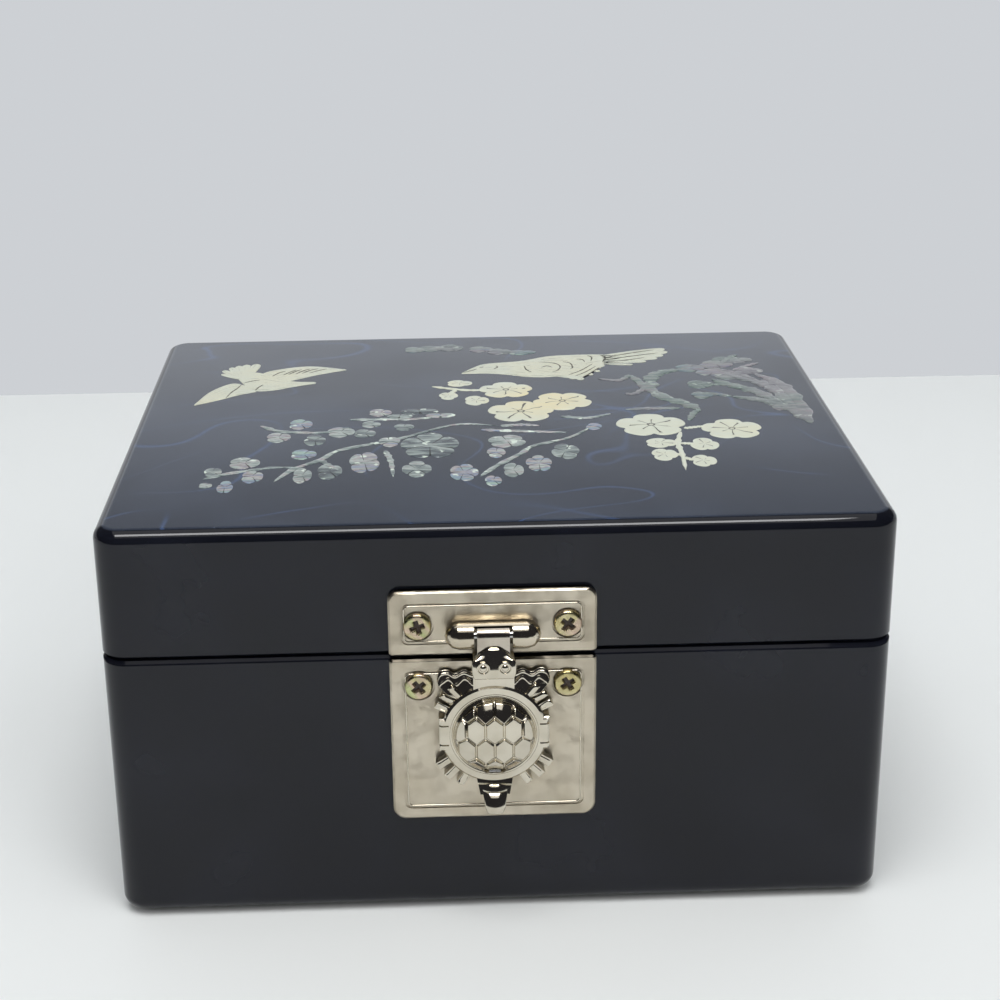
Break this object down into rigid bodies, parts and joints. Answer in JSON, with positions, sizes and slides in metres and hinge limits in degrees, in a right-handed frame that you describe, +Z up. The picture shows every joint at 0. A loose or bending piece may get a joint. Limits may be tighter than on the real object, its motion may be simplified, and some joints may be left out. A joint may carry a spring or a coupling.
{
  "type": "lacquered jewelry box",
  "caption": "Lacquered jewelry box with a hinged lid, mother-of-pearl inlay, turtle-shaped hasp clasp, lined compartments, ring rolls and a mirror in the lid.",
  "frame": {"origin": "centre of the box's outline at its underside, the face of the felt that it stands on", "axes": "+Z up, -Y towards the front that carries the clasp, +X to the right seen from the front"},
  "size_m": [0.15, 0.1355, 0.0818],
  "materials": {
    "lacquer": "polished black lacquer on wood",
    "floor_board": "plain thin board",
    "felt": "black felt",
    "velvet_board": "board wrapped in wine-red velvet",
    "velvet_pad": "wine-red velvet on soft foam",
    "mirror": "silvered glass",
    "backing": "grey board",
    "hinge_brass": "rolled brass strip",
    "steel": "bright steel",
    "zinc_screws": "yellow zinc plate",
    "nickel": "nickel plate on cast zinc",
    "spring_steel": "spring strip",
    "white_shell": "ivory mother-of-pearl",
    "green_shell": "iridescent abalone shell",
    "dark_shell": "smoky abalone shell under lacquer"
  },
  "bodies": {
    "base": {"base_walls": "lacquer", "base_floor": "floor_board", "base_felt": "felt", "floor_pad": "velvet_pad", "base_lining_left": "velvet_board", "base_lining_right": "velvet_board", "base_lining_front": "velvet_board", "base_lining_back": "velvet_board", "long_divider": "velvet_board", "cross_divider": "velvet_board", "ring_block": "velvet_pad", "ring_roll_1": "velvet_pad", "ring_roll_2": "velvet_pad", "ring_roll_3": "velvet_pad", "ring_roll_4": "velvet_pad", "ring_roll_5": "velvet_pad", "ring_roll_6": "velvet_pad", "ring_roll_7": "velvet_pad", "hinge_leaf_base_left": "hinge_brass", "hinge_leaf_base_right": "hinge_brass", "hinge_pin_left": "steel", "hinge_pin_right": "steel", "clasp_lower_plate": "nickel", "clasp_screws_lower": "zinc_screws", "catch_spring": "spring_steel", "catch_rivet": "steel"},
    "lid": {"lid_shell": "lacquer", "lid_lining_left": "velvet_board", "lid_lining_right": "velvet_board", "lid_lining_front": "velvet_board", "lid_lining_back": "velvet_board", "mirror_backing": "backing", "mirror_glass": "mirror", "mirror_frame": "velvet_board", "hinge_leaf_lid_left": "hinge_brass", "hinge_leaf_lid_right": "hinge_brass", "clasp_upper_plate": "nickel", "clasp_screws_upper": "zinc_screws", "hasp_pin": "steel", "pearl_birds": "white_shell", "pearl_blossoms": "white_shell", "abalone_blossoms": "green_shell", "abalone_branches": "green_shell", "pine_inlay": "dark_shell"},
    "hasp": {"hasp_strap": "steel", "turtle_body": "nickel", "turtle_shell": "nickel", "eye_rivets": "steel"}
  },
  "joints": [
    {"name": "lid_hinge", "type": "hinge", "parent": "base", "child": "lid", "pos_m": [0, 0.06155, 0.0558], "axis": [-1, 0, 0], "range_deg": [0, 100], "deforming": ["catch_spring"]},
    {"name": "hasp_swing", "type": "hinge", "parent": "lid", "child": "hasp", "pos_m": [-0.00135, -0.06795, 0.0612], "axis": [-1, 0, 0], "range_deg": [0, 100], "deforming": ["catch_spring"]}
  ]
}
